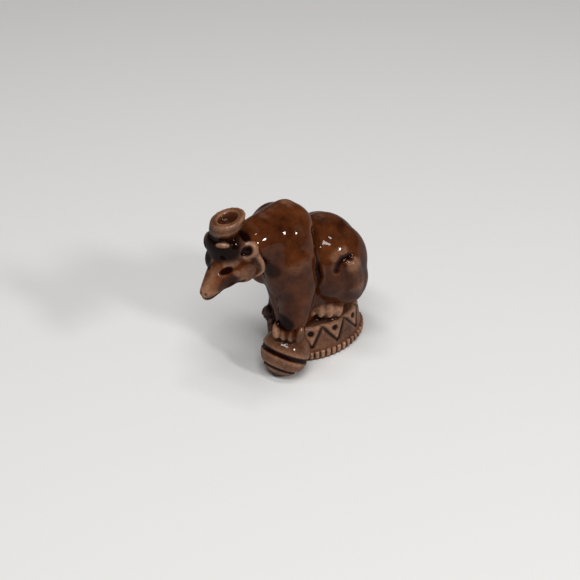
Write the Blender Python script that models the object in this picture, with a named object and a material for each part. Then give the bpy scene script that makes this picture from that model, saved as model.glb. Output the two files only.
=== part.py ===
"""A small pressed-porcelain circus bear under a brown glaze.

The bear squats on an oval tub, leans forward with one forepaw on a striped ball, and wears
a small hat with a dished top.  Bear, hat, ball and tub are one casting, so they are one object.
The figure looks along -Y, its left side is +X, and the origin is the middle of the tub's foot.
"""

import math

import bmesh
import bpy
import numpy as np
from mathutils import Matrix, Vector

MM = 0.001

# The oval tub: an upright band below, a sloping wall of zigzag panels above.
TUB_LENGTH = 15.4 * MM
TUB_WIDTH = 10.2 * MM
TUB_TOP_LENGTH = 13.2 * MM
TUB_TOP_WIDTH = 8.4 * MM
TUB_HEIGHT = 5.5 * MM
BAND_HEIGHT = 1.9 * MM
BAND_TAPER = 0.1 * MM
BAND_STEP = 0.25 * MM
TOP_SETBACK = 0.1 * MM
PANEL_COUNT = 10
PANEL_START = 0.62
PANEL_LINE = 0.42 * MM
PANEL_DEPTH = 0.22 * MM
DOT_DIAMETER = 0.9 * MM
DOT_LEVEL = 0.7
PANEL_SKEW = 0.14

# The ball stands at the tub's front corner and runs a little into its wall.
BALL_DIAMETER = 7.3 * MM
BALL_FLAT = 0.2 * MM
BALL_SINK = 1.6 * MM
BALL_BEARING = math.radians(19.7)
STRIPE_DEPTH = 0.2 * MM

# The hat is a thick-walled cup that widens upwards, with a dished top.
HAT_TOP_DIAMETER = 4.9 * MM
HAT_FOOT_DIAMETER = 2.8 * MM
HAT_HEIGHT = 2.1 * MM
HAT_RIM = 1.0 * MM
HAT_DISH = 1.0 * MM
HAT_LEAN = math.radians(14)
HAT_SWEEP = 0.42

# The bear is pressed a little into the tub's top.  Its pose and proportions are drawn for this
# height from there, and keep to it as shares.
SEAT_SINK = 0.5 * MM
BEAR_HEIGHT = 22.5 * MM
DRAWN_HEIGHT = 22.5
TOE_COUNT = 4
TOE_DROOP = 60
HEAD_TURN = math.radians(18)
HEAD_PITCH = math.radians(13)

# How finely the clay is blended, and how coarse the finished solid is.
CLAY_GRAIN = 0.3 * MM
FINE_GRAIN = 0.2 * MM
SOLID_FACES = 9300

SHARE = BEAR_HEIGHT / DRAWN_HEIGHT
SIDES = (1, -1)


# Helpers for shaping the clay.


def clear_scene():
    for obj in list(bpy.data.objects):
        bpy.data.objects.remove(obj, do_unlink=True)


def spot(x, y, z):
    """A drawn point of the bear, measured from its seat in the middle of the tub's top."""
    return Vector((x * SHARE, y * SHARE, TUB_HEIGHT - SEAT_SINK + z * SHARE))


def posed(centre, tilt=0.0, lean=0.0, turn=0.0):
    """A place for a lump: tilt is about X, lean about Y and turn about Z, in degrees."""
    return (
        Matrix.Translation(centre)
        @ Matrix.Rotation(math.radians(turn), 4, "Z")
        @ Matrix.Rotation(math.radians(lean), 4, "Y")
        @ Matrix.Rotation(math.radians(tilt), 4, "X")
    )


def head_frame():
    """The head's own axes: X to its left, -Y forward along the face, Z up through the hat."""
    turn = Matrix.Rotation(HEAD_TURN, 4, "Z")
    pitch = Matrix.Rotation(HEAD_PITCH, 4, "X")
    return Matrix.Translation(spot(0.8, -15.7, 17.4)) @ turn @ pitch


def on_head(left, forward, up, tilt=0.0, lean=0.0, turn=0.0):
    """A place on the head, in drawn millimetres along its own axes."""
    centre = Vector((left, -forward, up)) * SHARE
    return head_frame() @ posed(centre, tilt, lean, turn)


def egg(bm, place, radii, rounds=4):
    size = Matrix.Diagonal((*(radius * SHARE for radius in radii), 1))
    bmesh.ops.create_icosphere(bm, subdivisions=rounds, radius=1, matrix=place @ size)


def absorb(bm, piece):
    """Adds one bmesh to another and frees it."""
    shell = bpy.data.meshes.new("piece")
    piece.to_mesh(shell)
    piece.free()
    bm.from_mesh(shell)
    bpy.data.meshes.remove(shell)


def limb(bm, stations):
    """A chain of round stations (centre, radius), each pair wrapped in one tapered skin."""
    for pair in zip(stations, stations[1:]):
        piece = bmesh.new()
        for centre, radius in pair:
            place = Matrix.Translation(centre)
            egg(piece, place, (radius, radius, radius), rounds=3)
        hull = bmesh.ops.convex_hull(piece, input=piece.verts)
        loose = [v for v in hull["geom_interior"] if isinstance(v, bmesh.types.BMVert)]
        bmesh.ops.delete(piece, geom=list(set(loose)), context="VERTS")
        absorb(bm, piece)


def turned(bm, profile, place, steps=48):
    """A closed solid turned about Z from (radius, height) pairs, first and last on the axis."""
    piece = bmesh.new()
    ring = [piece.verts.new((radius, 0, height)) for radius, height in profile]
    edges = [piece.edges.new(pair) for pair in zip(ring, ring[1:])]
    bmesh.ops.spin(
        piece, geom=ring + edges, cent=(0, 0, 0), axis=(0, 0, 1), angle=math.tau, steps=steps
    )
    bmesh.ops.remove_doubles(piece, verts=piece.verts, dist=1e-7)
    bmesh.ops.recalc_face_normals(piece, faces=piece.faces)
    piece.transform(place)
    absorb(bm, piece)


def bake(obj):
    """Bakes the object's modifiers into its mesh."""
    graph = bpy.context.evaluated_depsgraph_get()
    mesh = bpy.data.meshes.new_from_object(obj.evaluated_get(graph))
    obj.modifiers.clear()
    old = obj.data
    obj.data = mesh
    bpy.data.meshes.remove(old)


def blend_clay(obj, grain, rounds):
    """Fuses overlapping lumps into one skin and softens the joins."""
    remesh = obj.modifiers.new("Fuse", "REMESH")
    remesh.mode = "VOXEL"
    remesh.voxel_size = grain
    soften = obj.modifiers.new("Soften", "SMOOTH")
    soften.factor = 0.5
    soften.iterations = rounds
    bake(obj)


class Skin:
    """The clay's surface as arrays, for pressing lines and hollows into it."""

    def __init__(self, mesh):
        self.mesh = mesh
        self.points = self.read(mesh.vertices, "co")
        self.normals = self.read(mesh.vertex_normals, "vector")

    @staticmethod
    def read(source, name):
        values = np.empty(len(source) * 3)
        source.foreach_get(name, values)
        return values.reshape(-1, 3)

    def push(self, weight, depth):
        """Sinks the surface by depth where the weight is one, and raises it for less than none."""
        self.points -= self.normals * (weight * depth)[:, None]

    def seen(self, place):
        """Each point in a stencil's own axes, and how squarely the surface faces its Z."""
        back = np.array(place.inverted())
        local = self.points @ back[:3, :3].T + back[:3, 3]
        facing = self.normals @ np.array(place.to_3x3())[:, 2]
        return local, facing

    def line(self, place, path, width, depth, reach=4.0):
        """Presses a soft line along a path drawn in the stencil's X and Y, in drawn millimetres."""
        local, facing = self.seen(place)
        local = local / SHARE
        gap = np.full(len(local), width)
        for start, end in zip(path, path[1:]):
            gap = np.minimum(gap, segment_gap(local[:, :2], np.array(start), np.array(end)))
        near = (np.abs(local[:, 2]) < reach) & (facing > 0.1)
        self.push(soft_step(1 - gap / width) * near, depth * SHARE)

    def dimple(self, place, radius, depth):
        """Sinks a round hollow about a point on the surface, in drawn millimetres."""
        gap = np.linalg.norm(self.points - np.array(place.translation), axis=1) / SHARE
        self.push(soft_step(1.2 - gap / radius), depth * SHARE)

    def finish(self):
        self.mesh.vertices.foreach_set("co", self.points.ravel())
        self.mesh.update()


def segment_gap(points, start, end):
    along = end - start
    share = np.clip((points - start) @ along / (along @ along), 0, 1)
    return np.linalg.norm(points - start - share[:, None] * along, axis=1)


def soft_step(value):
    clipped = np.clip(value, 0, 1)
    return clipped * clipped * (3 - 2 * clipped)


# Where things are on the tub and the ball.


def tub_reach(bearing, half_length, half_width):
    """How far an oval wall is from the middle, along a bearing taken from the front."""
    return 1 / math.hypot(math.sin(bearing) / half_width, math.cos(bearing) / half_length)


def ball_centre():
    """The ball's middle, out along its bearing from the tub's middle."""
    wall = tub_reach(BALL_BEARING, TUB_LENGTH / 2, TUB_WIDTH / 2)
    reach = wall + BALL_DIAMETER / 2 - BALL_SINK
    height = BALL_DIAMETER / 2 - BALL_FLAT
    return Vector((math.sin(BALL_BEARING) * reach, -math.cos(BALL_BEARING) * reach, height))


def near_paw():
    """The left forepaw's middle, on the ball's crown and a little towards the bear's left."""
    rest = Vector((0.25, 0.06, 0.97)).normalized()
    return ball_centre() + rest * (BALL_DIAMETER / 2 + 0.9 * SHARE)


def far_paw():
    """The right forepaw's middle, over the front edge of the tub's top."""
    across = -0.36 * TUB_TOP_WIDTH / 2
    along = -TUB_LENGTH / 2 + 0.7 * MM
    return Vector((across, along, spot(0, 0, 2.4).z))


# The bear, from the back forward.


def add_trunk(bm):
    egg(bm, posed(spot(0, 0.7, 8.4), tilt=14), (4.8, 6.4, 9.0))
    egg(bm, posed(spot(0, 1.4, 4.2)), (3.5, 4.9, 4.8))
    egg(bm, posed(spot(0, -6.1, 13.8), tilt=10), (4.3, 4.7, 6.6))
    egg(bm, posed(spot(0.6, -4.4, 6.0)), (2.6, 3.4, 7.4))
    egg(bm, posed(spot(0, -1.4, 0.8)), (2.2, 5.0, 1.8))
    chest = [(spot(0.6, -7.6, 11.5), 2.8), (spot(0.9, -6.8, 4.6), 2.1), (spot(0.8, -6.6, 0.8), 1.6)]
    limb(bm, chest)
    limb(bm, [(spot(0.2, -6.6, 17.4), 4.2), (spot(0.5, -12.0, 17.8), 3.3)])
    limb(bm, [(spot(0, -6.4, 20.0), 2.1), (spot(0.3, -10.0, 19.4), 2.2)])


def add_shoulder(bm, side):
    """The broad upper arm, drawn up to the hump at the nape."""
    egg(bm, posed(spot(side * 2.5, -7.4, 14.0), tilt=-6), (3.1, 4.0, 6.6))
    limb(bm, [(spot(side * 0.7, -6.4, 19.8), 1.8), (spot(side * 3.2, -6.1, 14.2), 2.4)])


def add_arms(bm):
    wrist = near_paw() + Vector((-0.3, 0.6, 2.2)) * SHARE
    limb(
        bm,
        [
            (spot(3.2, -7.6, 14.4), 3.1),
            (spot(3.4, -6.7, 10.2), 2.8),
            (wrist, 2.2),
            (near_paw(), 1.7),
        ],
    )
    wrist = far_paw() + Vector((0, 1.0, 2.0)) * SHARE
    limb(
        bm,
        [
            (spot(-2.8, -6.8, 14.4), 2.9),
            (spot(-2.6, -5.0, 10.2), 2.6),
            (wrist, 1.8),
            (far_paw(), 1.3),
        ],
    )


def add_haunch(bm, side):
    egg(bm, posed(spot(side * 2.0, 0.95, 9.6), tilt=12), (4.2, 5.5, 6.4))
    egg(bm, posed(spot(side * 2.9, 2.4, 6.6)), (3.2, 3.8, 4.2))


def add_head(bm):
    egg(bm, on_head(-0.1, -0.8, 0.0), (3.5, 3.6, 3.3))
    egg(bm, on_head(-0.2, 1.0, 1.9), (3.0, 2.0, 1.6))
    egg(bm, on_head(-0.2, 0.8, 2.9), (3.0, 2.2, 2.3))
    egg(bm, on_head(0, 1.6, -2.0), (1.9, 3.0, 1.4))
    for side in SIDES:
        egg(bm, on_head(side * 2.3, 0.5, -0.7), (1.6, 2.4, 2.2))
    limb(
        bm,
        [
            (on_head(0, 1.6, -0.4).translation, 2.4),
            (on_head(0, 4.2, -0.9).translation, 1.75),
            (on_head(0, 6.4, -1.3).translation, 1.15),
        ],
    )


def body_clay():
    bm = bmesh.new()
    add_trunk(bm)
    add_head(bm)
    add_arms(bm)
    for side in SIDES:
        add_shoulder(bm, side)
        add_haunch(bm, side)
    clay = bpy.data.objects.new("bear_figurine", bpy.data.meshes.new("bear_figurine"))
    bm.to_mesh(clay.data)
    bm.free()
    bpy.context.scene.collection.objects.link(clay)
    blend_clay(clay, CLAY_GRAIN, 16)
    return clay


# Smaller forms, pressed on once the body is blended.


def add_ears(bm):
    for side, centre in ((1, (2.9, -0.2, 2.3)), (-1, (-3.2, 0.6, 1.9))):
        place = on_head(*centre, turn=side * 40, tilt=-30)
        egg(bm, place, (1.35, 0.7, 1.3))


def add_ruff(bm):
    """The fur of each cheek ends in a raised edge, from the ear down to the jaw."""
    for side in SIDES:
        limb(
            bm,
            [
                (on_head(side * 3.3, -0.7, 1.2).translation, 0.6),
                (on_head(side * 3.3, -1.0, -0.9).translation, 0.8),
                (on_head(side * 3.1, -1.1, -2.1).translation, 0.8),
                (on_head(side * 2.3, -0.6, -3.0).translation, 0.7),
            ],
        )


def add_brow(bm):
    """A short raised fold over the nose, under the hat."""
    egg(bm, on_head(0.9, 2.35, 4.4, tilt=-40, turn=25), (1.1, 0.4, 0.4))


def add_legs(bm):
    """The knee and shin stand proud of each haunch."""
    for side in SIDES:
        limb(
            bm,
            [
                (spot(side * 4.9, 1.2, 11.0), 1.9),
                (spot(side * 4.7, 1.9, 7.8), 2.1),
                (spot(side * 3.7, 2.9, 5.0), 2.0),
                (spot(side * 2.0, 2.0, 2.6), 1.4),
            ],
        )


def add_toes(bm, centre, turn, spread, size):
    """A row of toes hangs down the front of a foot that points along the turn."""
    heading = Matrix.Rotation(math.radians(turn), 4, "Z")
    droop = Matrix.Rotation(math.radians(TOE_DROOP), 4, "X")
    for step in range(TOE_COUNT):
        off_middle = step - (TOE_COUNT - 1) / 2
        forward = 0.15 * spread * (1.5 - abs(off_middle))
        offset = heading @ (Vector((off_middle * spread, -forward, 0)) * SHARE)
        place = Matrix.Translation(centre + offset) @ heading @ droop
        egg(bm, place, (size, 2 * size, size), rounds=3)


def add_feet(bm):
    for side in SIDES:
        egg(bm, posed(spot(side * 1.6, 0.15, 1.4), turn=side * 52), (2.4, 2.1, 1.7))
        add_toes(bm, spot(side * 3.1, -1.3, 3.1), side * 52, 1.3, 0.74)


def add_paws(bm):
    for paw, turn, width, rise in ((near_paw(), 36, 2.0, 0.7), (far_paw(), -8, 1.3, -0.5)):
        egg(bm, posed(paw, turn=turn), (width, 1.8, 1.5))
        heading = Matrix.Rotation(math.radians(turn), 4, "Z")
        front = heading @ Vector((-0.2 * SHARE, -1.1 * SHARE, rise * SHARE))
        add_toes(bm, paw + front, turn, 0.55 * width, 0.35 * width)


def add_ball(bm):
    place = Matrix.Translation(ball_centre())
    bmesh.ops.create_icosphere(bm, subdivisions=5, radius=BALL_DIAMETER / 2, matrix=place)


def tub_ring(half_length, half_width, height, setback, count=96):
    for step in range(count):
        angle = math.tau * step / count
        across = half_width * math.cos(angle)
        along = setback + half_length * math.sin(angle)
        yield (across, along, height)


def tub_levels():
    """The tub's ovals from below the foot to the top: half-length, half-width, height, setback."""
    foot = (TUB_LENGTH / 2, TUB_WIDTH / 2)
    band = (foot[0] - BAND_TAPER, foot[1] - BAND_TAPER)
    wall = (band[0] - BAND_STEP, band[1] - BAND_STEP)
    top = (TUB_TOP_LENGTH / 2, TUB_TOP_WIDTH / 2)
    return (
        (*foot, -1.0 * MM, 0),
        (*foot, 0, 0),
        (*band, BAND_HEIGHT, 0),
        (*wall, BAND_HEIGHT + BAND_STEP, 0),
        (*top, TUB_HEIGHT, TOP_SETBACK),
    )


def add_tub(bm):
    """The ovals are bridged and closed."""
    rings = [[bm.verts.new(p) for p in tub_ring(*level)] for level in tub_levels()]
    for low, high in zip(rings, rings[1:]):
        for step in range(len(low)):
            after = (step + 1) % len(low)
            bm.faces.new((low[step], low[after], high[after], high[step]))
    bm.faces.new(list(reversed(rings[0])))
    bm.faces.new(rings[-1])


def add_web(bm):
    """Clay left between the right forepaw and the tub's front."""
    knuckle = far_paw() + Vector((0.1, -0.3, -1.2)) * SHARE
    foot = far_paw().lerp(ball_centre(), 0.3)
    foot.z = TUB_HEIGHT / 2
    limb(bm, [(knuckle, 1.2), (foot, 1.5)])


def hat_place():
    lean = Matrix.Rotation(HAT_LEAN, 4, Vector((0.79, -0.62, 0)))
    sweep = Matrix.Shear("XY", 4, (0.62 * HAT_SWEEP, 0.79 * HAT_SWEEP))
    return Matrix.Translation(on_head(-0.15, 0.25, 4.6).translation) @ lean @ sweep


def add_hat(bm):
    foot, top = HAT_FOOT_DIAMETER / 2, HAT_TOP_DIAMETER / 2
    profile = (
        (0, -1.2 * MM),
        (foot, -1.2 * MM),
        (foot, 0),
        (top - 0.1 * MM, HAT_HEIGHT - 0.8 * MM),
        (top, HAT_HEIGHT - 0.4 * MM),
        (top - 0.4 * HAT_RIM, HAT_HEIGHT),
        (top - HAT_RIM, HAT_HEIGHT - 0.1 * MM),
        (top - 1.5 * HAT_RIM, HAT_HEIGHT - HAT_DISH),
        (0, HAT_HEIGHT - 1.2 * HAT_DISH),
    )
    turned(bm, profile, hat_place())


def add_small_forms(figure):
    bm = bmesh.new()
    bm.from_mesh(figure.data)
    add_ears(bm)
    add_ruff(bm)
    add_brow(bm)
    add_legs(bm)
    add_feet(bm)
    add_paws(bm)
    add_web(bm)
    add_ball(bm)
    add_tub(bm)
    add_hat(bm)
    bm.to_mesh(figure.data)
    bm.free()
    blend_clay(figure, FINE_GRAIN, 3)


# Lines and hollows.


def flank(side):
    """A stencil seen from the bear's side: X runs back, Y runs up from the tub's top."""
    columns = Matrix(((0, 0, side), (1, 0, 0), (0, 1, 0))).to_4x4()
    return Matrix.Translation(spot(side * 4.0, 0, 0)) @ columns


def carve_flanks(skin):
    """The folds between arm and haunch, and round the knee."""
    fold = [(-4.2, 18.0), (-4.3, 16.0), (-3.9, 12.8), (-3.8, 10.4), (-4.6, 7.4), (-5.2, 5.0)]
    knee = [(-1.4, 11.3), (-1.1, 12.1), (-0.3, 12.7), (0.9, 12.8)]
    for side in SIDES:
        skin.line(flank(side), fold, width=0.9, depth=0.3)
        skin.line(flank(side), knee, width=0.75, depth=0.2)


def carve_ball(skin):
    """Stripes run round the ball about a leaning axis."""
    axis = np.array((-0.119, 0.539, 0.834))
    centre = np.array(ball_centre())
    radius = BALL_DIAMETER / 2
    offset = skin.points - centre
    on_ball = soft_step(6 - 5.2 * np.linalg.norm(offset, axis=1) / radius)
    latitude = (offset @ axis) / radius
    for place, width in ((-0.03, 0.10), (-0.66, 0.07)):
        skin.push(soft_step(1.4 - np.abs(latitude - place) / width) * on_ball, STRIPE_DEPTH)


def carve_tub(skin):
    """Zigzag lines round the wall, with a dot in every panel that hangs from the top."""
    low = BAND_HEIGHT + BAND_STEP
    across, along, up = skin.points.T
    share = np.clip((up - low) / (TUB_HEIGHT - low), 0, 1)
    levels = tub_levels()
    half_length = levels[3][0] + (levels[4][0] - levels[3][0]) * share
    half_width = levels[3][1] + (levels[4][1] - levels[3][1]) * share
    along = along - TOP_SETBACK * share
    on_wall = np.abs(np.hypot(across / half_width, along / half_length) - 1) < 0.06
    on_wall &= (up > low) & (up < TUB_HEIGHT)
    turn = np.arctan2(along / half_length, across / half_width) / math.tau * PANEL_COUNT
    turn = turn - PANEL_SKEW * (1 - share)
    wave = np.abs(2 * ((turn + PANEL_START) % 1) - 1)
    pitch = math.tau * np.hypot(half_length, half_width) / math.sqrt(2) / PANEL_COUNT
    slope = (TUB_HEIGHT - low) * 2 / pitch
    gap = np.abs(share - wave) * (TUB_HEIGHT - low) / np.hypot(1, slope)
    skin.push(soft_step(1 - gap / PANEL_LINE) * on_wall, PANEL_DEPTH)
    middle = np.hypot(wave * pitch / 2, (share - DOT_LEVEL) * (TUB_HEIGHT - low))
    skin.push(soft_step(1.6 - 2 * middle / DOT_DIAMETER) * on_wall, PANEL_DEPTH)


def carve_face(skin):
    """Hollow ears, sunken eyes and two nostrils."""
    for ear in ((3.1, 0.2, 2.4), (-3.4, 0.9, 2.0)):
        skin.dimple(on_head(*ear), 0.8, 0.4)
    for side in SIDES:
        skin.dimple(on_head(side * 1.4, 3.3, 0.6), 0.7, 0.1)
        skin.dimple(on_head(side * 0.4, 7.2, -0.7), 0.3, 0.1)


def thin_out(figure):
    """Keeps the form with fewer faces."""
    count = len(figure.data.polygons) * 2
    decimate = figure.modifiers.new("Thin", "DECIMATE")
    decimate.ratio = SOLID_FACES / count
    bake(figure)


def cut_foot(figure):
    """Slices the underside flat and closes it."""
    bm = bmesh.new()
    bm.from_mesh(figure.data)
    cut = bmesh.ops.bisect_plane(
        bm,
        geom=bm.verts[:] + bm.edges[:] + bm.faces[:],
        dist=1e-6,
        plane_co=(0, 0, 0),
        plane_no=(0, 0, 1),
        clear_inner=True,
    )
    rim = [item for item in cut["geom_cut"] if isinstance(item, bmesh.types.BMEdge)]
    bmesh.ops.holes_fill(bm, edges=rim)
    bmesh.ops.recalc_face_normals(bm, faces=bm.faces)
    for face in bm.faces:
        face.smooth = abs(face.normal.z) < 0.999
    bm.to_mesh(figure.data)
    bm.free()


def glaze():
    material = bpy.data.materials.new("brown_glaze")
    material.use_nodes = True
    shader = material.node_tree.nodes["Principled BSDF"]
    shader.inputs["Base Color"].default_value = (0.19, 0.075, 0.045, 1)
    shader.inputs["Roughness"].default_value = 0.15
    shader.inputs["Coat Weight"].default_value = 1.0
    return material


def main():
    clear_scene()
    figure = body_clay()
    add_small_forms(figure)
    skin = Skin(figure.data)
    carve_flanks(skin)
    carve_ball(skin)
    carve_tub(skin)
    carve_face(skin)
    skin.finish()
    thin_out(figure)
    cut_foot(figure)
    figure.data.materials.append(glaze())


main()
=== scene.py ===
"""The looks of a miniature porcelain circus bear, brown-glazed, with its tub and its ball."""

import math

import bpy
import numpy as np
from mathutils import Euler, Matrix, Vector


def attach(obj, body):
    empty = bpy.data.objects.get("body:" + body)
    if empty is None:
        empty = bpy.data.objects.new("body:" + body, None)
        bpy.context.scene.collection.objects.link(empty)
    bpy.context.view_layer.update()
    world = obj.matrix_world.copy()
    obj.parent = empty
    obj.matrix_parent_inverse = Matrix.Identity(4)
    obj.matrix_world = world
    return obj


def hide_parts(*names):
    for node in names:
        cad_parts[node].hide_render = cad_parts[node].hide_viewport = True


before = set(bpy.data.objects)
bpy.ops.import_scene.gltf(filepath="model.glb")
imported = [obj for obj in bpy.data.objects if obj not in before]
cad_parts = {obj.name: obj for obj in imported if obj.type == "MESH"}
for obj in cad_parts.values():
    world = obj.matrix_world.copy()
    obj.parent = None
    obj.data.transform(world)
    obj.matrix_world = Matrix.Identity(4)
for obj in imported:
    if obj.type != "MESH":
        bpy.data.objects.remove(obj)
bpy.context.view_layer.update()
bpy.ops.object.select_all(action="DESELECT")

# The view: a small figure seen from its front left and well above, with a long lens,
# from sixteen centimetres away.
MM = 0.001
bpy.ops.object.camera_add(location=(102.0 * MM, -83.7 * MM, 108.1 * MM))
camera = bpy.context.object
camera.name = "view"
aim = Vector((0.53, -5.88, 11.83)) * MM
camera.rotation_euler = (aim - camera.location).to_track_quat("-Z", "Y").to_euler()
camera.data.lens = 68.5
camera.data.sensor_width = 36
camera.data.clip_start = 0.005
camera.data.clip_end = 10
bpy.context.scene.camera = camera

# The floor is a plain pale sheet of paper. Two narrow soft lights overhead draw the paired
# streaks in the glaze, and one to the right throws the soft shadow to the left.
bpy.ops.mesh.primitive_plane_add(size=1.6, location=(0, 0, 0))
floor = bpy.context.object
floor.name = "floor"
paper = bpy.data.materials.new("pale_paper")
paper.use_nodes = True
paper_shader = paper.node_tree.nodes["Principled BSDF"]
paper_shader.inputs["Base Color"].default_value = (0.66, 0.655, 0.645, 1)
paper_shader.inputs["Roughness"].default_value = 0.9
floor.data.materials.append(paper)

sky = bpy.data.worlds.new("studio")
sky.use_nodes = True
sky.node_tree.nodes["Background"].inputs["Color"].default_value = (1.0, 0.96, 0.92, 1)
sky.node_tree.nodes["Background"].inputs["Strength"].default_value = 0.10
bpy.context.scene.world = sky
bpy.context.scene.view_settings.view_transform = "Standard"


def soft_light(name, toward, along, size, power):
    """A soft light hung some way off, aimed at the figure, its length along a line."""
    distance = 0.4
    toward = Vector(toward).normalized()
    across = toward.cross(Vector(along)).normalized()
    middle = Vector((0, -4, 12)) * MM
    bpy.ops.object.light_add(type="AREA", location=middle + toward * distance)
    light = bpy.context.object
    light.name = name
    light.data.shape = "RECTANGLE"
    light.data.size, light.data.size_y = size
    light.data.energy = power
    light.rotation_euler = Matrix((across.cross(toward), across, toward)).transposed().to_euler()


soft_light("overhead_near", (0.32, -0.34, 0.88), (0.90, 0.44, 0), (0.26, 0.042), 0.85)
soft_light("overhead_far", (0.06, -0.10, 0.99), (0.90, 0.44, 0), (0.26, 0.036), 0.75)
soft_light("right_side", (0.80, 0.22, 0.55), (0.62, 0.78, 0), (0.04, 0.05), 0.6)


# The trunk and neck: a heavy pear-shaped body of pressed clay that leans forward,
# with a thick neck carried level in front of it.
TUB_HEIGHT = 5.5 * MM
SEAT_SINK = 0.5 * MM
clay = []


def spot(x, y, z):
    """A point of the bear in millimetres, with Z measured up from its seat in the tub's top."""
    return Vector((x * MM, y * MM, TUB_HEIGHT - SEAT_SINK + z * MM))


def lump(centre, radii, tilt=0, lean=0, turn=0, within=None, rounds=4):
    """One rounded lump of clay, its radii in millimetres and its turns in degrees."""
    turns = Euler((math.radians(tilt), math.radians(lean), math.radians(turn)))
    place = Matrix.Translation(centre) @ turns.to_matrix().to_4x4()
    if within is not None:
        place = within @ place
    bpy.ops.mesh.primitive_ico_sphere_add(
        subdivisions=rounds,
        radius=MM,
        location=place.translation,
        rotation=place.to_euler(),
        scale=radii,
    )
    clay.append(bpy.context.object)
    return bpy.context.object


def pick(pieces):
    """Selects just these pieces, the first of them active."""
    bpy.ops.object.select_all(action="DESELECT")
    for piece in pieces:
        piece.select_set(True)
    bpy.context.view_layer.objects.active = pieces[0]


def limb(*stations):
    """Round stations, each a centre and a radius, with one skin drawn tight over each pair."""
    for (start, thick), (end, thin) in zip(stations, stations[1:]):
        lump(start, (thick, thick, thick), rounds=3)
        lump(end, (thin, thin, thin), rounds=3)
        pick([clay[-2], clay[-1]])
        clay.pop()
        bpy.ops.object.join()
        bpy.ops.object.mode_set(mode="EDIT")
        bpy.ops.mesh.select_all(action="SELECT")
        bpy.ops.mesh.convex_hull(join_triangles=False)
        bpy.ops.object.mode_set(mode="OBJECT")


lump(spot(0, 0.7, 8.4), (4.8, 6.4, 9.0), tilt=14)
lump(spot(0, 1.4, 4.2), (3.5, 4.9, 4.8))
lump(spot(0, -6.1, 13.8), (4.3, 4.7, 6.6), tilt=10)
lump(spot(0.6, -4.4, 6.0), (2.6, 3.4, 7.4))
lump(spot(0, -1.4, 0.8), (2.2, 5.0, 1.8))
limb((spot(0.6, -7.6, 11.5), 2.8), (spot(0.9, -6.8, 4.6), 2.1), (spot(0.8, -6.6, 0.8), 1.6))
limb((spot(0.2, -6.6, 17.4), 4.2), (spot(0.5, -12.0, 17.8), 3.3))
limb((spot(0, -6.4, 20.0), 2.1), (spot(0.3, -10.0, 19.4), 2.2))

# The forelegs: broad shoulders drawn up to the hump at the nape, the near leg standing on
# the ball and the far one reaching down to the front edge of the tub.
TUB_LENGTH, TUB_WIDTH = 15.4 * MM, 10.2 * MM
TUB_TOP_LENGTH, TUB_TOP_WIDTH = 13.2 * MM, 8.4 * MM
BALL_DIAMETER = 7.3 * MM
BALL_FLAT = 0.2 * MM
BALL_SINK = 1.6 * MM
BALL_BEARING = math.radians(19.7)

wall_reach = 1 / math.hypot(
    math.sin(BALL_BEARING) / (TUB_WIDTH / 2), math.cos(BALL_BEARING) / (TUB_LENGTH / 2)
)
ball_reach = wall_reach + BALL_DIAMETER / 2 - BALL_SINK
ball_centre = Vector(
    (
        math.sin(BALL_BEARING) * ball_reach,
        -math.cos(BALL_BEARING) * ball_reach,
        BALL_DIAMETER / 2 - BALL_FLAT,
    )
)
crown = Vector((0.25, 0.06, 0.97)).normalized()
PAW_THICKNESS = 0.9 * MM
near_paw = ball_centre + crown * (BALL_DIAMETER / 2 + PAW_THICKNESS)
far_paw = Vector((-0.36 * TUB_TOP_WIDTH / 2, 0.7 * MM - TUB_LENGTH / 2, spot(0, 0, 2.4).z))

limb(
    (spot(3.2, -7.6, 14.4), 3.1),
    (spot(3.4, -6.7, 10.2), 2.8),
    (near_paw + Vector((-0.3, 0.6, 2.2)) * MM, 2.2),
    (near_paw, 1.7),
)
limb(
    (spot(-2.8, -6.8, 14.4), 2.9),
    (spot(-2.6, -5.0, 10.2), 2.6),
    (far_paw + Vector((0, 1.0, 2.0)) * MM, 1.8),
    (far_paw, 1.3),
)
for side in (1, -1):
    lump(spot(side * 2.5, -7.4, 14.0), (3.1, 4.0, 6.6), tilt=-6)
    limb((spot(side * 0.7, -6.4, 19.8), 1.8), (spot(side * 3.2, -6.1, 14.2), 2.4))

# The haunches: two rounded thighs folded up against the flanks, solid clay like the trunk
# and run into it without an edge.
for side in (1, -1):
    lump(spot(side * 2.0, 0.95, 9.6), (4.2, 5.5, 6.4), tilt=12)
    lump(spot(side * 2.9, 2.4, 6.6), (3.2, 3.8, 4.2))

# The head: a broad skull with full cheeks and a long tapering muzzle, turned to the bear's
# left and held a little down.
head = (
    Matrix.Translation(spot(0.8, -15.7, 17.4))
    @ Matrix.Rotation(math.radians(18), 4, "Z")
    @ Matrix.Rotation(math.radians(13), 4, "X")
)


def face(left, forward, up):
    """A point of the head, in millimetres along the head's own axes."""
    return Vector((left, -forward, up)) * MM


lump(face(-0.1, -0.8, 0.0), (3.5, 3.6, 3.3), within=head)
lump(face(-0.2, 1.0, 1.9), (3.0, 2.0, 1.6), within=head)
lump(face(-0.2, 0.8, 2.9), (3.0, 2.2, 2.3), within=head)
lump(face(0, 1.6, -2.0), (1.9, 3.0, 1.4), within=head)
for side in (1, -1):
    lump(face(side * 2.3, 0.5, -0.7), (1.6, 2.4, 2.2), within=head)
limb(
    (head @ face(0, 1.6, -0.4), 2.4),
    (head @ face(0, 4.2, -0.9), 1.75),
    (head @ face(0, 6.4, -1.3), 1.15),
)


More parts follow.
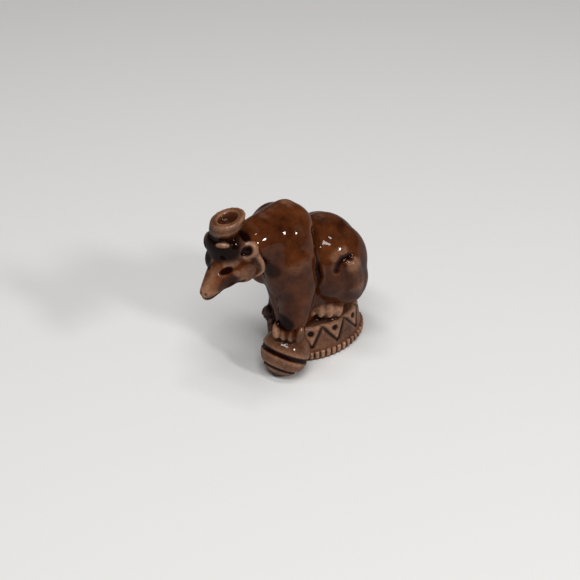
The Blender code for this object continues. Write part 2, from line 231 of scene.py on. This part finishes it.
def knead(pieces, grain, rounds):
    """Joins overlapping pieces into one skin and softens where they meet."""
    pick(pieces)
    bpy.ops.object.join()
    bpy.ops.object.transform_apply(location=True, rotation=True, scale=True)
    whole = bpy.context.object
    fuse = whole.modifiers.new("fuse", "REMESH")
    fuse.mode = "VOXEL"
    fuse.voxel_size = grain
    bpy.ops.object.modifier_apply(modifier="fuse")
    soften = whole.modifiers.new("soften", "SMOOTH")
    soften.factor = 0.5
    soften.iterations = rounds
    bpy.ops.object.modifier_apply(modifier="soften")
    return whole


figure = knead(clay, 0.3 * MM, 16)
figure.name = "glazed_bear"
clay = [figure]

# The ears, cheek ruffs and brow: small forms of the same clay raised on the skull, the ears
# thick and cupped, the ruffs a rolled edge from each ear down to the jaw.
for side, centre in ((1, (2.9, -0.2, 2.3)), (-1, (-3.2, 0.6, 1.9))):
    lump(face(*centre), (1.35, 0.7, 1.3), tilt=-30, turn=side * 40, within=head)
    limb(
        (head @ face(side * 3.3, -0.7, 1.2), 0.6),
        (head @ face(side * 3.3, -1.0, -0.9), 0.8),
        (head @ face(side * 3.1, -1.1, -2.1), 0.8),
        (head @ face(side * 2.3, -0.6, -3.0), 0.7),
    )
lump(face(0.9, 2.35, 4.4), (1.1, 0.4, 0.4), tilt=-40, turn=25, within=head)

# The hind legs: the knee and shin stand proud of each haunch, and each foot ends in a row
# of four round toes.


def toes(centre, turn, spread, size):
    """Four toes in a row, hanging down the front of a foot that points along the turn."""
    heading = Matrix.Rotation(math.radians(turn), 4, "Z")
    for step in (-1.5, -0.5, 0.5, 1.5):
        forward = 0.15 * spread * (1.5 - abs(step))
        place = Matrix.Translation(centre) @ heading
        offset = Vector((step * spread, -forward, 0)) * MM
        lump(offset, (size, 2 * size, size), tilt=60, within=place, rounds=3)


for side in (1, -1):
    limb(
        (spot(side * 4.9, 1.2, 11.0), 1.9),
        (spot(side * 4.7, 1.9, 7.8), 2.1),
        (spot(side * 3.7, 2.9, 5.0), 2.0),
        (spot(side * 2.0, 2.0, 2.6), 1.4),
    )
    lump(spot(side * 1.6, 0.15, 1.4), (2.4, 2.1, 1.7), turn=side * 52)
    toes(spot(side * 3.1, -1.3, 3.1), side * 52, 1.3, 0.74)

# The forepaws: the near one spread over the ball, the far one narrow, on the tub's edge,
# with a web of clay left below it.
for paw, turn, width, rise in ((near_paw, 36, 2.0, 0.7), (far_paw, -8, 1.3, -0.5)):
    lump(paw, (width, 1.8, 1.5), turn=turn)
    front = Matrix.Rotation(math.radians(turn), 4, "Z") @ Vector((-0.2, -1.1, rise)) * MM
    toes(paw + front, turn, 0.55 * width, 0.35 * width)
web_foot = far_paw.lerp(ball_centre, 0.3)
web_foot.z = TUB_HEIGHT / 2
limb((far_paw + Vector((0.1, -0.3, -1.2)) * MM, 1.2), (web_foot, 1.5))

# The ball: a small striped ball of solid clay, pressed into the front of the tub under the
# near paw, with a small flat where it stands.
radius = BALL_DIAMETER / 2 / MM
lump(ball_centre, (radius, radius, radius), rounds=5)

# The tub: an oval clay stand, drawn up from one oval slab, with an upright band at the foot
# and a sloping wall above it.
BAND_HEIGHT = 1.9 * MM
BAND_TAPER = 0.1 * MM
BAND_STEP = 0.25 * MM
TOP_SETBACK = 0.1 * MM


def choose_faces(piece, wanted):
    """Selects the faces that a test accepts, and leaves the piece in edit mode."""
    bpy.ops.object.mode_set(mode="EDIT")
    bpy.ops.mesh.select_mode(type="FACE")
    bpy.ops.object.mode_set(mode="OBJECT")
    for polygon in piece.data.polygons:
        polygon.select = wanted(polygon.normal)
    bpy.ops.object.mode_set(mode="EDIT")


def faces_up(normal):
    return normal.z > 0.9


def faces_down(normal):
    return normal.z < -0.9


bpy.ops.object.select_all(action="DESELECT")
bpy.ops.mesh.primitive_cylinder_add(
    vertices=128,
    radius=TUB_LENGTH / 2,
    depth=BAND_HEIGHT + MM,
    location=(0, 0, (BAND_HEIGHT - MM) / 2),
    scale=(TUB_WIDTH / TUB_LENGTH, 1, 1),
)
tub = bpy.context.object
bpy.ops.object.transform_apply(location=True, rotation=True, scale=True)
bpy.ops.object.mode_set(mode="EDIT")
bpy.ops.mesh.select_all(action="DESELECT")
choose_faces(tub, faces_up)
band = (TUB_WIDTH / 2 - BAND_TAPER, TUB_LENGTH / 2 - BAND_TAPER)
wall = (band[0] - BAND_STEP, band[1] - BAND_STEP)
top = (TUB_TOP_WIDTH / 2, TUB_TOP_LENGTH / 2)
bpy.ops.transform.resize(value=(band[0] * 2 / TUB_WIDTH, band[1] * 2 / TUB_LENGTH, 1))
bpy.ops.mesh.extrude_region_move(TRANSFORM_OT_translate={"value": (0, 0, BAND_STEP)})
bpy.ops.transform.resize(value=(wall[0] / band[0], wall[1] / band[1], 1))
wall_height = TUB_HEIGHT - BAND_HEIGHT - BAND_STEP
bpy.ops.mesh.extrude_region_move(TRANSFORM_OT_translate={"value": (0, TOP_SETBACK, wall_height)})
bpy.ops.transform.resize(value=(top[0] / wall[0], top[1] / wall[1], 1))
bpy.ops.object.mode_set(mode="OBJECT")
clay.append(tub)

# The row of short upright strokes on the band: small round-edged bars of clay, all alike,
# leaning in a little and half sunk into it.
STROKE_COUNT = 50
STROKE_WIDTH, STROKE_PROUD, STROKE_HEIGHT = 0.46 * MM, 0.30 * MM, 1.2 * MM
STROKE_LEVEL, STROKE_EDGE, STROKE_SETBACK = 0.98 * MM, 0.12 * MM, 0.05 * MM
STROKE_LEAN = math.radians(8)
bpy.ops.object.select_all(action="DESELECT")
bpy.ops.mesh.primitive_cube_add(size=1, scale=(STROKE_WIDTH, 3 * STROKE_PROUD, STROKE_HEIGHT))
stroke = bpy.context.object
bpy.ops.object.transform_apply(location=True, rotation=True, scale=True)
bpy.ops.object.mode_set(mode="EDIT")
bpy.ops.mesh.select_all(action="SELECT")
bpy.ops.mesh.bevel(offset=STROKE_EDGE, segments=2)
bpy.ops.object.mode_set(mode="OBJECT")
for step in range(STROKE_COUNT):
    angle = math.tau * step / STROKE_COUNT
    across = (TUB_WIDTH / 2 - STROKE_SETBACK) * math.cos(angle)
    along = (TUB_LENGTH / 2 - STROKE_SETBACK) * math.sin(angle)
    out = Vector((across / TUB_WIDTH**2, along / TUB_LENGTH**2, 0)).normalized()
    sunk = out * 0.5 * STROKE_PROUD
    copy = bpy.data.objects.new("stroke", stroke.data.copy())
    bpy.context.scene.collection.objects.link(copy)
    copy.location = (across - sunk.x, along - sunk.y, STROKE_LEVEL)
    copy.rotation_euler = (0, STROKE_LEAN, math.atan2(out.y, out.x) + math.pi / 2)
    clay.append(copy)
bpy.data.objects.remove(stroke)

# The hat: a thick-walled cup of clay with a dished top and a rounded rim, stuck between the
# ears with its foot sunk into the skull, and leaning back.
HAT_TOP, HAT_FOOT, HAT_HEIGHT = 2.45 * MM, 1.4 * MM, 2.1 * MM
HAT_RIM, HAT_DISH = 1.0 * MM, 1.0 * MM
HAT_SUNK, HAT_ROUNDING = 1.2 * MM, 0.4 * MM
HAT_TILT, HAT_SWEEP = math.radians(14), 0.42
bpy.ops.object.select_all(action="DESELECT")
bpy.ops.mesh.primitive_cone_add(
    vertices=64,
    radius1=HAT_FOOT,
    radius2=HAT_TOP,
    depth=HAT_HEIGHT,
    location=(0, 0, HAT_HEIGHT / 2),
)
hat = bpy.context.object
bpy.ops.object.transform_apply(location=True, rotation=True, scale=True)
choose_faces(hat, faces_down)
bpy.ops.mesh.extrude_region_move(TRANSFORM_OT_translate={"value": (0, 0, -HAT_SUNK)})
choose_faces(hat, faces_up)
bpy.ops.mesh.inset(thickness=HAT_RIM)
bpy.ops.mesh.inset(thickness=0.5 * HAT_RIM)
bpy.ops.transform.translate(value=(0, 0, -HAT_DISH))
bpy.ops.mesh.select_mode(type="EDGE")
bpy.ops.object.mode_set(mode="OBJECT")
for edge in hat.data.edges:
    ends = [hat.data.vertices[index].co for index in edge.vertices]
    level = all(end.z > HAT_HEIGHT - 0.01 * MM for end in ends)
    edge.select = level and all(end.xy.length > HAT_TOP - 0.1 * MM for end in ends)
bpy.ops.object.mode_set(mode="EDIT")
bpy.ops.mesh.bevel(offset=HAT_ROUNDING, segments=4)
bpy.ops.object.mode_set(mode="OBJECT")
hat_place = (
    Matrix.Translation(head @ face(-0.15, 0.25, 4.6))
    @ Matrix.Rotation(HAT_TILT, 4, Vector((0.79, -0.62, 0)))
    @ Matrix.Shear("XY", 4, (0.62 * HAT_SWEEP, 0.79 * HAT_SWEEP))
)
hat.data.transform(hat_place)
clay.append(hat)

# The casting: bear, hat, ball and tub leave the mould as one piece, so they are kneaded
# into one skin, and the fine lines are pressed into it.
figure = knead(clay, 0.162 * MM, 6)


def soft_step(value):
    clipped = np.clip(value, 0, 1)
    return clipped * clipped * (3 - 2 * clipped)


def read(source, name, size=3):
    values = np.empty(len(source) * size)
    source.foreach_get(name, values)
    return values.reshape(-1, size)


class Skin:
    """The clay's surface as arrays. Pressing a line into it also says how the glaze will lie:
    the pooled amount is where it runs together and fires dark, and also where painted shade is
    laid; the thin amount is where it drains off and shows tan, and also where painted light is
    laid."""

    def __init__(self, mesh):
        self.mesh = mesh
        self.points = read(mesh.vertices, "co")
        self.normals = read(mesh.vertex_normals, "vector")
        self.pool = np.zeros(len(self.points))
        self.thin = np.zeros(len(self.points))

    def press(self, weight, depth, pool=0, thin=0):
        """Sinks the surface by a depth in millimetres, or raises it for less than none."""
        self.points -= self.normals * (weight * depth * MM)[:, None]
        drained_and_lit = self.thin * (1 - weight * pool)
        self.pool = np.maximum(self.pool * (1 - weight * thin), weight * pool)
        self.thin = np.maximum(drained_and_lit, weight * thin)

    def local(self, place):
        """The points in a stencil's own axes, in millimetres."""
        back = np.array(place.inverted())
        return (self.points @ back[:3, :3].T + back[:3, 3]) / MM

    def line(self, place, path, width, depth, reach=4.0, **glaze):
        """A soft line along a path drawn in the stencil's X and Y."""
        local = self.local(place)
        gap = np.full(len(local), 1e3)
        for start, end in zip(path, path[1:]):
            start, along = np.array(start), np.array(end) - np.array(start)
            share = np.clip((local[:, :2] - start) @ along / (along @ along), 0, 1)
            away = local[:, :2] - start - share[:, None] * along
            gap = np.minimum(gap, np.linalg.norm(away, axis=1))
        facing = self.normals @ np.array(place.to_3x3())[:, 2]
        near = (np.abs(local[:, 2]) < reach) * soft_step(facing / 0.3)
        self.press(soft_step(1 - gap / width) * near, depth, **glaze)

    def patch(self, place, radii, depth=0, **glaze):
        """A soft-edged patch or hollow, an ellipsoid in the stencil's axes."""
        away = np.linalg.norm(self.local(place) / np.array(radii), axis=1)
        self.press(soft_step(2 * (1.25 - away)), depth, **glaze)

    def finish(self):
        self.mesh.vertices.foreach_set("co", self.points.ravel())
        for name in ("pool", "thin"):
            layer = self.mesh.attributes.new(name, "FLOAT", "POINT")
            layer.data.foreach_set("value", getattr(self, name).astype(np.float32))
        self.mesh.update()


def flank(side):
    """A stencil seen from the bear's side: X runs back, Y runs up from its seat."""
    columns = Matrix(((0, 0, side), (1, 0, 0), (0, 1, 0))).to_4x4()
    return Matrix.Translation(spot(side * 4.0, 0, 0)) @ columns


def cheek(side):
    """A stencil seen from the side of the head: X runs forward, Y runs up."""
    columns = Matrix(((0, 0, side), (-1, 0, 0), (0, 1, 0))).to_4x4()
    return head @ Matrix.Translation(face(side * 2.5, 0, 0)) @ columns


def at(place, *centre):
    """A stencil's place on the head, from the head's own millimetres."""
    return place @ Matrix.Translation(face(*centre))


def by(point, x=0, y=0, z=0):
    """A stencil's place a few millimetres from a point, its axes along the bear's own."""
    return Matrix.Translation(point + Vector((x, y, z)) * MM)


skin = Skin(figure.data)

# Folds of the flanks: pressed into the soft clay where the foreleg lies against the haunch,
# and over the knee, with a low ridge above the knee.
fold = [(-4.2, 18.0), (-4.3, 16.0), (-3.9, 12.8), (-3.8, 10.4), (-4.6, 7.4), (-5.2, 5.0)]
knee = [(-1.4, 11.3), (-1.1, 12.1), (-0.3, 12.7), (0.9, 12.8)]
for side in (1, -1):
    skin.line(flank(side), fold, width=0.9, depth=0.3, pool=0.6)
    skin.line(flank(side), knee, width=0.75, depth=0.22, pool=0.9)
    ridge = [(x - 0.5, y + 1.0) for x, y in knee[1:]]
    skin.line(flank(side), ridge, width=0.8, depth=-0.05, thin=0.22)

# The face: shallow almond eyes, the line of the jaw, two nostrils, hollow ears and the edge of
# the ruff. The glaze drains off the brow, the cheek and the bridge of the muzzle.
eye_line = Vector((0.73, 1.27, -0.49))
jaw = [(2.3, -1.4), (2.9, -2.0), (3.7, -2.2), (5.0, -1.8), (6.2, -1.7), (7.2, -1.5)]
ruff = [(-0.5, 1.6), (-1.0, -0.6), (-1.2, -2.0), (-0.6, -2.9)]
behind_ruff = [(-1.9, -0.9), (-2.1, -2.0), (-1.6, -3.3)]
for side in (1, -1):
    skin.patch(at(head, side * 1.6, 2.5, 1.5), (1.0, 1.3, 0.7), thin=0.42)
    skin.patch(at(head, side * 2.4, 2.4, 0.0), (0.5, 0.7, 0.5), thin=0.4)
    slant = Vector((side * eye_line.x, eye_line.y, eye_line.z)).to_track_quat("X", "Z")
    eye = at(head, side * 1.4, 3.3, 0.6) @ slant.to_matrix().to_4x4()
    skin.patch(eye, (1.05, 0.36, 0.7), 0.1, pool=1.0)
    skin.patch(at(head, side * 1.9, 4.2, -0.8), (0.8, 2.4, 1.1), pool=0.55)
    skin.line(cheek(side), jaw, width=0.4, depth=0.16, pool=0.8)
    skin.line(cheek(side), ruff, width=0.6, depth=-0.12, thin=0.9)
    # Behind each ruff a shallow crease holds pooled glaze, darkened further as painted shade under
    # the ruff's edge.
    skin.line(cheek(side), behind_ruff, width=0.6, depth=0.1, pool=0.9)
    # A dark patch on each side of the neck under the head: painted shade from the head.
    skin.patch(by(spot(side * 3.1, -11.2, 14.2)), (1.6, 1.6, 1.2), pool=0.7)
    skin.patch(at(head, side * 0.4, 7.2, -0.7), (0.24, 0.24, 0.24), 0.1, pool=0.5)
skin.line(head, [(0.2, -3.9), (0.0, -7.2)], width=1.1, depth=0, reach=2.0, thin=0.2)
# Both ears have a pooled hollow, and the near ear a tan rim where the glaze runs thin; the far
# ear's rim is kept dark as painted shade.
for centre, light in (((3.1, 0.2, 2.4), 0.95), ((-3.4, 0.9, 2.0), 0.1)):
    skin.patch(at(head, *centre), (1.5, 1.0, 1.5), thin=light)
    skin.patch(at(head, *centre), (0.62, 1.2, 0.75), 0.4, pool=1.0)

# The ball's stripes: two shallow grooves cut round a leaning axis, dark where the glaze has
# filled them. Their places and widths are shares of the ball's radius.
BALL_AXIS = (-0.119, 0.539, 0.834)
BALL_STRIPES = ((-0.03, 0.10), (-0.66, 0.06))
STRIPE_DEPTH = 0.18
offset = (skin.points - np.array(ball_centre)) / (BALL_DIAMETER / 2)
on_ball = soft_step(6 - 5.2 * np.linalg.norm(offset, axis=1))
latitude = offset @ np.array(BALL_AXIS)
skin.press(on_ball, 0, thin=0.28)
for place, width in BALL_STRIPES:
    stripe = soft_step(1.5 - np.abs(latitude - place) / width) * on_ball
    skin.press(stripe, STRIPE_DEPTH, pool=1.0)

# The tub's wall: a zigzag line cut all round it, with a round dot pressed into every panel
# that hangs from the top. The hanging panels shed the glaze and show tan; the rim sheds it too
# and is lightened further by a painted highlight along its top edge.
PANEL_COUNT, PANEL_START, PANEL_SKEW = 10, 0.62, 0.14
PANEL_LINE, PANEL_DEPTH = 0.42 * MM, 0.18
DOT_DIAMETER, DOT_LEVEL, DOT_DEPTH = 0.85 * MM, 0.7, 0.22
FADE = 0.3 * MM
low = BAND_HEIGHT + BAND_STEP
across, along, up = skin.points.T
share = np.clip((up - low) / (TUB_HEIGHT - low), 0, 1)
half_width = wall[0] + (top[0] - wall[0]) * share
half_length = wall[1] + (top[1] - wall[1]) * share
along = along - TOP_SETBACK * share
reach = np.hypot(across / half_width, along / half_length)
on_tub = soft_step((1.10 - reach) / 0.04) * soft_step((TUB_HEIGHT + FADE - up) / FADE)
skin.press(on_tub * (1 - on_ball), 0, thin=0.28)
on_wall = (np.abs(reach - 1) < 0.06) & (up > low) & (up < TUB_HEIGHT)
turn = np.arctan2(along / half_length, across / half_width) / math.tau * PANEL_COUNT
turn = turn - PANEL_SKEW * (1 - share)
wave = np.abs(2 * ((turn + PANEL_START) % 1) - 1)
pitch = math.tau * np.hypot(half_length, half_width) / math.sqrt(2) / PANEL_COUNT
slope = (TUB_HEIGHT - low) * 2 / pitch
gap = np.abs(share - wave) * (TUB_HEIGHT - low) / np.hypot(1, slope)
hanging = soft_step((share - wave) / 0.1) * on_wall * (1 - on_ball)
skin.press(hanging, 0, thin=0.8)
# The rim: tan where the glaze drains off the edge, and lightened further as a painted highlight
# along the top.
rim = soft_step(1.6 - np.abs(share - 1) / 0.06) * on_tub * (reach > 0.93)
skin.press(rim, 0, thin=0.8)
skin.press(soft_step(1 - gap / PANEL_LINE) * on_wall, PANEL_DEPTH, pool=0.48)
middle = np.hypot(wave * pitch / 2, (share - DOT_LEVEL) * (TUB_HEIGHT - low))
skin.press(soft_step(1.6 - 2 * middle / DOT_DIAMETER) * on_wall, DOT_DEPTH, pool=0.6)

# The gaps between the strokes on the band: cut clear of clay, so that each stroke stands
# proud and tan, and the glaze gathers between them.
GAP_DEPTH = 0.13
across, along, up = skin.points.T
on_band = soft_step((BAND_HEIGHT + FADE - up) / FADE) * (reach > 0.9) * (1 - on_ball)
turn = np.arctan2(along / TUB_LENGTH, across / TUB_WIDTH) / math.tau * STROKE_COUNT
beside = 2 * np.abs((turn + 0.5) % 1 - 0.5)
beside = np.where(np.abs(up - STROKE_LEVEL) < STROKE_HEIGHT / 2, beside, 1)
skin.press(on_band * soft_step((0.75 - beside) / 0.3), 0, thin=0.95)
skin.press(on_band * soft_step((beside - 0.55) / 0.35), GAP_DEPTH, pool=0.15)

# The glaze's large patches: it lies thin on the hat and toes, and very thick between the hat
# and the eyes and on the near paw where it has run down the leg and over the outer toes. The far
# cheek and the far paw are darkened as painted shade, and the hind toes are lightened further as
# painted light.
in_hat = skin.local(hat_place)
hat_side = np.hypot(in_hat[:, 0], in_hat[:, 1]) < 1.25 * HAT_TOP / MM
skin.press(soft_step((in_hat[:, 2] - 0.7) / 0.8) * hat_side, 0, thin=0.05)
skin.patch(hat_place @ Matrix.Translation((0, 0, HAT_HEIGHT)), (1.3, 1.3, 0.8), pool=0.5)
skin.patch(hat_place @ by(Vector(), -1.5, -1.9, 2.0), (1.4, 1.4, 1.6), pool=0.35)
skin.patch(at(head, -0.4, 1.6, 3.4), (3.4, 2.4, 2.2), pool=1.0)
# Painted shade down the far cheek, the side of the head turned away from the lights.
skin.patch(at(head, -2.6, 1.6, 1.0), (1.6, 2.6, 2.6), pool=0.95)
skin.patch(at(head, 1.6, -1.2, 3.4), (1.6, 1.2, 1.2), pool=1.0)
bar = at(head, 0.9, 2.5, 4.5) @ Matrix.Rotation(math.radians(25), 4, "Z")
skin.patch(bar, (1.0, 0.6, 0.35), thin=0.7)
skin.patch(by(near_paw, -0.1, -1.2, 2.2), (1.7, 1.4, 1.3), pool=1.0)
# Painted shade on the far paw, under the chest and head.
skin.patch(by(far_paw), (1.7, 2.0, 1.8), pool=0.7)
skin.patch(by(near_paw, -1.0, -1.9, 0.2), (1.2, 1.2, 1.2), thin=0.9)
skin.patch(by(near_paw, 1.6, -0.3, 0.4), (1.4, 1.3, 1.2), pool=0.5)
# The hind toes: tan where the glaze runs thin, and lightened further as painted light from the
# front.
for side in (1, -1):
    skin.patch(by(spot(side * 3.3, -1.4, 2.8)), (2.2, 2.2, 1.2), thin=0.85)
skin.finish()

# The finish: the glaze softens the pressed lines a little, and the underside is ground flat
# on a stone, so its edge stays sharp.
pick([figure])
settle = figure.modifiers.new("settle", "SMOOTH")
settle.factor = 0.5
settle.iterations = 1
bpy.ops.object.modifier_apply(modifier="settle")
bpy.ops.object.mode_set(mode="EDIT")
bpy.ops.mesh.select_all(action="SELECT")
bpy.ops.mesh.bisect(
    plane_co=(0, 0, 0), plane_no=(0, 0, 1), use_fill=True, clear_inner=True, threshold=1e-7
)
bpy.ops.object.mode_set(mode="OBJECT")
bpy.ops.object.shade_smooth()
for polygon in figure.data.polygons:
    polygon.use_smooth = polygon.normal.z > -0.999 or polygon.center.z > 0.01 * MM

# The glaze: glassy and red-brown, dark where it is thick and where shade is painted above, tan
# where the clay shows through and where light is painted above. Every ridge sheds it and every
# hollow gathers it, on top of what the lines above have said.
RELIEF_ROUNDS, RELIEF_SHARE = 30, 0.55
RELIEF_LEAST, RELIEF_FULL = 0.02, 0.08
mesh = figure.data
skin = Skin(mesh)
edges = np.empty(len(mesh.edges) * 2, int)
mesh.edges.foreach_get("vertices", edges)
first, second = edges.reshape(-1, 2).T
count = np.bincount(edges, minlength=len(skin.points))
smooth = skin.points.copy()
for _ in range(RELIEF_ROUNDS):
    total = np.stack(
        [
            np.bincount(first, smooth[second, column], len(smooth))
            + np.bincount(second, smooth[first, column], len(smooth))
            for column in range(3)
        ],
        axis=1,
    )
    smooth = 0.5 * smooth + 0.5 * total / count[:, None]
relief = ((skin.points - smooth) * skin.normals).sum(1) / MM
for name, lean in (("pool", -relief), ("thin", relief)):
    said = read(mesh.attributes[name].data, "value", 1)[:, 0]
    gathered = RELIEF_SHARE * soft_step((lean - RELIEF_LEAST) / RELIEF_FULL)
    glaze_lies = np.clip(said + gathered, 0, 1)
    mesh.attributes[name].data.foreach_set("value", glaze_lies.astype(np.float32))


class Shade:
    """A node socket that can be used in sums, so shader maths reads as plain sums."""

    def __init__(self, tree, socket):
        self.tree = tree
        self.socket = socket

    def node(self, kind, settings=None, output=0, **values):
        made = self.tree.nodes.new(kind)
        for name, value in (settings or {}).items():
            setattr(made, name, value)
        for name, value in values.items():
            key = int(name[1:]) if name[0] == "i" and name[1:].isdigit() else name.replace("_", " ")
            socket = made.inputs[key]
            if isinstance(value, Shade):
                self.tree.links.new(value.socket, socket)
            else:
                socket.default_value = value
        return Shade(self.tree, made.outputs[output])

    def maths(self, operation, *values):
        named = {f"i{index}": value for index, value in enumerate(values)}
        return self.node("ShaderNodeMath", {"operation": operation}, **named)

    def __add__(self, other):
        return self.maths("ADD", self, other)

    def __sub__(self, other):
        return self.maths("SUBTRACT", self, other)

    def __rsub__(self, other):
        return self.maths("SUBTRACT", other, self)

    def __mul__(self, other):
        return self.maths("MULTIPLY", self, other)

    __radd__ = __add__
    __rmul__ = __mul__

    def clamp(self):
        return self.node("ShaderNodeClamp", i0=self)


def mix(base, factor, first, second):
    """A colour between two others."""
    settings = {"data_type": "RGBA"}
    return base.node("ShaderNodeMix", settings, output=2, i0=factor, i6=first, i7=second)


THICK_BROWN, THIN_BROWN = (0.023, 0.0046, 0.0012, 1), (0.096, 0.0255, 0.0064, 1)
DARK_TAN, PALE_TAN = (0.205, 0.086, 0.042, 1), (0.43, 0.245, 0.155, 1)
POOLED_AND_SHADED_BLACK = (0.006, 0.0010, 0.0006, 1)
RIPPLE_HEIGHT = 0.03 * MM
glaze = bpy.data.materials.new("brown_glaze")
glaze.use_nodes = True
tree = glaze.node_tree
shader = tree.nodes["Principled BSDF"]
base = Shade(tree, None)
where = base.node("ShaderNodeTexCoord", output=3)
thin_glaze_and_light = base.node("ShaderNodeAttribute", {"attribute_name": "thin"}, output=2)
pooled_and_shaded = base.node("ShaderNodeAttribute", {"attribute_name": "pool"}, output=2)
cloud = base.node("ShaderNodeTexNoise", Vector=where, Scale=300.0, Detail=5.0, Roughness=0.6)
cloud = ((cloud - 0.32) * 2.6).clamp()
speck = base.node("ShaderNodeTexNoise", Vector=where, Scale=2400.0, Detail=3.0)
body = mix(base, cloud, THICK_BROWN, THIN_BROWN)
tan = mix(base, speck, DARK_TAN, PALE_TAN)
drained_and_lit = (thin_glaze_and_light * (0.6 + cloud * 0.6) + (speck - 0.5) * 0.25 * thin_glaze_and_light).clamp()
colour = mix(base, drained_and_lit, body, tan)
mottle = base.node("ShaderNodeTexNoise", Vector=where, Scale=1100.0, Detail=4.0)
pooled_and_shaded = (pooled_and_shaded * 1.1 + (mottle - 0.5) * 0.4).clamp()
colour = mix(base, pooled_and_shaded * 0.99, colour, POOLED_AND_SHADED_BLACK)
tree.links.new(colour.socket, shader.inputs["Base Color"])
rough = 0.22 + speck * 0.16
tree.links.new(rough.socket, shader.inputs["Roughness"])
shader.inputs["Specular IOR Level"].default_value = 0.0
coat = 0.27 - pooled_and_shaded * 0.12
tree.links.new(coat.socket, shader.inputs["Coat Weight"])
shader.inputs["Coat IOR"].default_value = 1.6
shader.inputs["Coat Roughness"].default_value = 0.04
ripple = base.node("ShaderNodeTexNoise", Vector=where, Scale=900.0, Detail=2.0)
bump = base.node("ShaderNodeBump", Strength=0.12, Distance=RIPPLE_HEIGHT, Height=ripple)
tree.links.new(bump.socket, shader.inputs["Normal"])
figure.data.materials.clear()
figure.data.materials.append(glaze)
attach(figure, "root")
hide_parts("bear_figurine")
